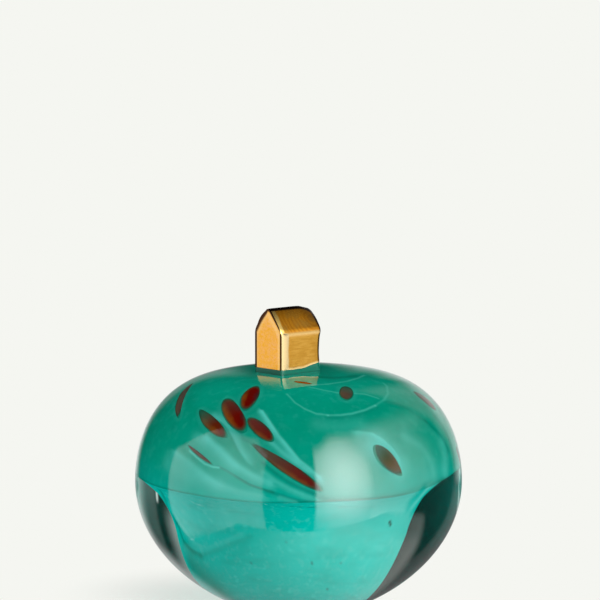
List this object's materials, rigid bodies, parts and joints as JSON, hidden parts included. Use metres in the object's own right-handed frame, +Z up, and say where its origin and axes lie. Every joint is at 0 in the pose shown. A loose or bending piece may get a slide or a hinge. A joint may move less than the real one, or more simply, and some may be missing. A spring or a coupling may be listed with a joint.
{
  "type": "glass sculpture",
  "caption": "Solid flattened ball of teal glass cased in clear glass, with red-brown chips under its surface and a small gold gabled house on top.",
  "frame": {"origin": "centre of the ground foot, on the surface that the sculpture stands on", "axes": "+Z up, -Y towards the front, where the pictured chips are, +X to the right as seen from the front"},
  "size_m": [0.095, 0.095, 0.0874],
  "materials": {
    "clear_glass": "fire-polished clear glass, ground flat under the foot",
    "teal_heart_glass": "luminous light teal glass with small seeds",
    "teal_overlay_glass": "deep teal glass with pale veils and thin darker creases",
    "chip_glass": "red-brown glass chips with orange-brown edges, partly under a teal veil",
    "gold_lustre": "bright gold lustre with fine brushed swirls over cast glass"
  },
  "bodies": {
    "root": {"teal_heart": "teal_heart_glass", "teal_overlay": "teal_overlay_glass", "chip_01": "chip_glass", "chip_02": "chip_glass", "chip_03": "chip_glass", "chip_04": "chip_glass", "chip_05": "chip_glass", "chip_06": "chip_glass", "chip_07": "chip_glass", "chip_08": "chip_glass", "chip_09": "chip_glass", "chip_10": "chip_glass", "chip_11": "chip_glass", "chip_12": "chip_glass", "chip_13": "chip_glass", "chip_14": "chip_glass", "chip_15": "chip_glass", "chip_16": "chip_glass", "chip_17": "chip_glass", "chip_18": "chip_glass", "chip_19": "chip_glass", "chip_20": "chip_glass", "chip_21": "chip_glass", "chip_22": "chip_glass", "clear_casing": "clear_glass", "house_foot": "clear_glass", "gold_house": "gold_lustre"}
  },
  "joints": []
}
